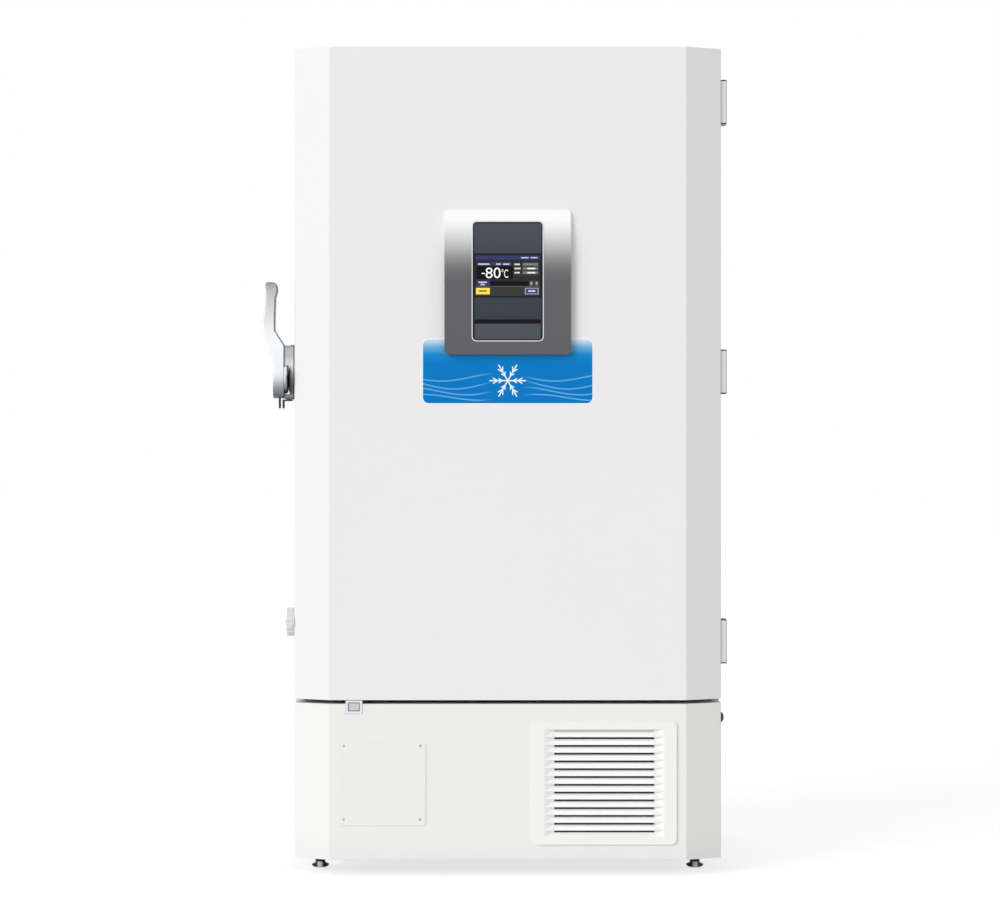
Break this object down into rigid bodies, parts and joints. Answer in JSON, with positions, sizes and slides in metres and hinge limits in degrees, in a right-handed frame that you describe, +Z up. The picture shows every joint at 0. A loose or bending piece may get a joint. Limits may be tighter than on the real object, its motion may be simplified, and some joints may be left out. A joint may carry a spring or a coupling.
{
  "type": "upright ultra low temperature freezer",
  "caption": "Upright laboratory deep freezer: bevelled insulated door with side lever latch, touch control panel, louvred lower panel, inner doors, shelves, casters and levelling feet.",
  "frame": {"origin": "on the floor under the middle of the cabinet, with the feet and the wheels standing on it", "axes": "+X to the right seen from the front, +Y to the rear, +Z up"},
  "size_m": [1.1228, 0.901, 1.993],
  "materials": {
    "white_paint": "satin",
    "white_plastic": "satin",
    "foam": "matte",
    "inner_door_panel": "satin",
    "stainless": "satin",
    "copper": "satin",
    "zinc_steel": "satin",
    "hinge_paint": "satin",
    "seal_rubber": "matte",
    "sensor_plastic": "matte",
    "compressor_shell": "satin",
    "finned_aluminium": "satin",
    "filter_mesh": "matte",
    "fan_plastic": "matte",
    "control_box_shell": "satin",
    "black_plastic": "matte",
    "silver_grey": "satin",
    "dark_fascia": "gloss",
    "screen_glass": "gloss",
    "label_blue": "gloss",
    "handle_silver": "satin",
    "knob_grey": "satin",
    "caster_tyre": "matte",
    "foot_black": "matte"
  },
  "bodies": {
    "cabinet": {"side_panel_left": "white_paint", "side_panel_right": "white_paint", "top_panel": "white_paint", "back_panel": "white_paint", "compartment_deck": "white_paint", "foam_insulation": "foam", "vacuum_panels": "foam", "inner_liner": "stainless", "evaporator_coil": "copper", "breaker_frame": "white_plastic", "shelf_lower": "stainless", "shelf_middle": "stainless", "shelf_upper": "stainless", "shelf_rails": "stainless", "base_plate": "zinc_steel", "lower_front_panel": "white_paint", "recorder_blank_plate": "white_paint", "door_sensor": "sensor_plastic", "side_bumper": "seal_rubber", "compressors": "compressor_shell", "condenser": "finned_aluminium", "condenser_filter": "filter_mesh", "fan_shroud": "fan_plastic", "control_box": "control_box_shell", "refrigerant_lines": "copper", "rear_cover": "white_paint", "wall_anchors": "zinc_steel", "power_inlet": "black_plastic", "access_port_cap": "black_plastic", "cabinet_hinge_leaves": "zinc_steel", "latch_striker": "zinc_steel"},
    "outer_door": {"door_skin": "white_paint", "door_foam": "foam", "door_liner": "white_plastic", "door_gasket": "seal_rubber", "door_hinge_leaves": "hinge_paint", "control_bezel": "silver_grey", "control_fascia": "dark_fascia", "port_bay": "dark_fascia", "touch_screen": "screen_glass", "front_label": "label_blue", "handle_base": "handle_silver", "vacuum_port_base": "knob_grey"},
    "latch_handle": {"handle_lever": "handle_silver"},
    "vacuum_release": {"vacuum_release_knob": "knob_grey"},
    "port_flap": {"usb_flap": "dark_fascia"},
    "condenser_fan": {"fan_blade": "fan_plastic"},
    "upper_inner_door": {"inner_door_upper": "inner_door_panel", "inner_gasket_upper": "seal_rubber"},
    "lower_inner_door": {"inner_door_lower": "inner_door_panel", "inner_gasket_lower": "seal_rubber"},
    "caster_left": {"caster_fork_front_left": "zinc_steel"},
    "caster_right": {"caster_fork_front_right": "zinc_steel"},
    "front_wheel_left": {"caster_wheel_front_left": "caster_tyre"},
    "front_wheel_right": {"caster_wheel_front_right": "caster_tyre"},
    "rear_wheel_left": {"caster_wheel_rear_left": "caster_tyre"},
    "rear_wheel_right": {"caster_wheel_rear_right": "caster_tyre"},
    "foot_left": {"levelling_foot_left": "foot_black"},
    "foot_right": {"levelling_foot_right": "foot_black"},
    "intake_grille": {"front_grille": "white_plastic"}
  },
  "joints": [
    {"name": "outer_door_hinge", "type": "hinge", "parent": "cabinet", "child": "outer_door", "pos_m": [0.523, -0.331, 1.2], "axis": [0, 0, 1], "range_deg": [0, 120]},
    {"name": "handle_turn", "type": "hinge", "parent": "outer_door", "child": "latch_handle", "pos_m": [-0.547, -0.36, 1.205], "axis": [1, 0, 0], "range_deg": [0, 75]},
    {"name": "vacuum_knob_turn", "type": "hinge", "parent": "outer_door", "child": "vacuum_release", "pos_m": [-0.528, -0.36, 0.6085], "axis": [-1, 0, 0], "range_deg": [0, 90]},
    {"name": "port_flap_hinge", "type": "hinge", "parent": "outer_door", "child": "port_flap", "pos_m": [0, -0.45475, 1.2915], "axis": [1, 0, 0], "range_deg": [0, 90]},
    {"name": "condenser_fan_spin", "type": "hinge", "parent": "cabinet", "child": "condenser_fan", "pos_m": [0.2319, -0.24, 0.244], "axis": [0, 1, 0], "continuous": true},
    {"name": "upper_inner_door_hinge", "type": "hinge", "parent": "cabinet", "child": "upper_inner_door", "pos_m": [0.4215, -0.298, 1.558], "axis": [0, 0, 1], "range_deg": [0, 90]},
    {"name": "lower_inner_door_hinge", "type": "hinge", "parent": "cabinet", "child": "lower_inner_door", "pos_m": [0.4215, -0.298, 0.858], "axis": [0, 0, 1], "range_deg": [0, 90]},
    {"name": "caster_swivel_left", "type": "hinge", "parent": "cabinet", "child": "caster_left", "pos_m": [-0.4, -0.118, 0.09], "axis": [0, 0, 1], "continuous": true},
    {"name": "caster_swivel_right", "type": "hinge", "parent": "cabinet", "child": "caster_right", "pos_m": [0.4, -0.118, 0.09], "axis": [0, 0, 1], "continuous": true},
    {"name": "front_wheel_roll_left", "type": "hinge", "parent": "caster_left", "child": "front_wheel_left", "pos_m": [-0.4, -0.096, 0.0375], "axis": [1, 0, 0], "continuous": true},
    {"name": "front_wheel_roll_right", "type": "hinge", "parent": "caster_right", "child": "front_wheel_right", "pos_m": [0.4, -0.096, 0.0375], "axis": [1, 0, 0], "continuous": true},
    {"name": "rear_wheel_roll_left", "type": "hinge", "parent": "cabinet", "child": "rear_wheel_left", "pos_m": [-0.4, 0.33, 0.0375], "axis": [1, 0, 0], "continuous": true},
    {"name": "rear_wheel_roll_right", "type": "hinge", "parent": "cabinet", "child": "rear_wheel_right", "pos_m": [0.4, 0.33, 0.0375], "axis": [1, 0, 0], "continuous": true},
    {"name": "foot_screw_left", "type": "slide", "parent": "cabinet", "child": "foot_left", "axis": [0, 0, -1], "range_m": [0, 0.02]},
    {"name": "foot_screw_right", "type": "slide", "parent": "cabinet", "child": "foot_right", "axis": [0, 0, -1], "range_m": [0, 0.02]},
    {"name": "grille_pull_off", "type": "slide", "parent": "cabinet", "child": "intake_grille", "axis": [0, -1, 0], "range_m": [0, 0.06]}
  ],
  "couplings": [
    {"joint": "upper_inner_door_hinge", "follows": "outer_door_hinge", "ratio": 0.75},
    {"joint": "lower_inner_door_hinge", "follows": "outer_door_hinge", "ratio": 0.75}
  ]
}
